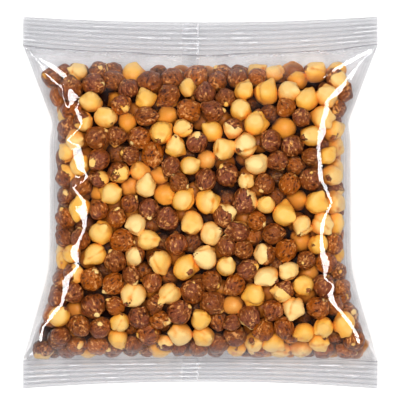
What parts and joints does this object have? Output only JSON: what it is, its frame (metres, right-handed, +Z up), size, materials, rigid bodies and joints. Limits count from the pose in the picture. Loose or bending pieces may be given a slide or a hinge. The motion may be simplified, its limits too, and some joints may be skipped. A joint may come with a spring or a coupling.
{
  "type": "bag of roasted chickpeas",
  "caption": "Clear pillow bag with ribbed end seals, packed full of roasted chickpeas, some brown-skinned and some skinned and golden.",
  "frame": {"origin": "bottom centre of the lying bag's bounding box, on the table", "axes": "+X across the bag, +Y from the bottom seal towards the top seal, +Z up from the table, out of the shown side"},
  "size_m": [0.1452, 0.152, 0.0379],
  "materials": {
    "clear_film": "thin clear gloss film, shown in the colour of the contents behind it",
    "brown_skin": "wrinkled roasted skin, satin",
    "golden_kernel": "skinned roasted kernel, smooth and waxy"
  },
  "bodies": {
    "root": {"bag": "clear_film"}
  },
  "joints": []
}
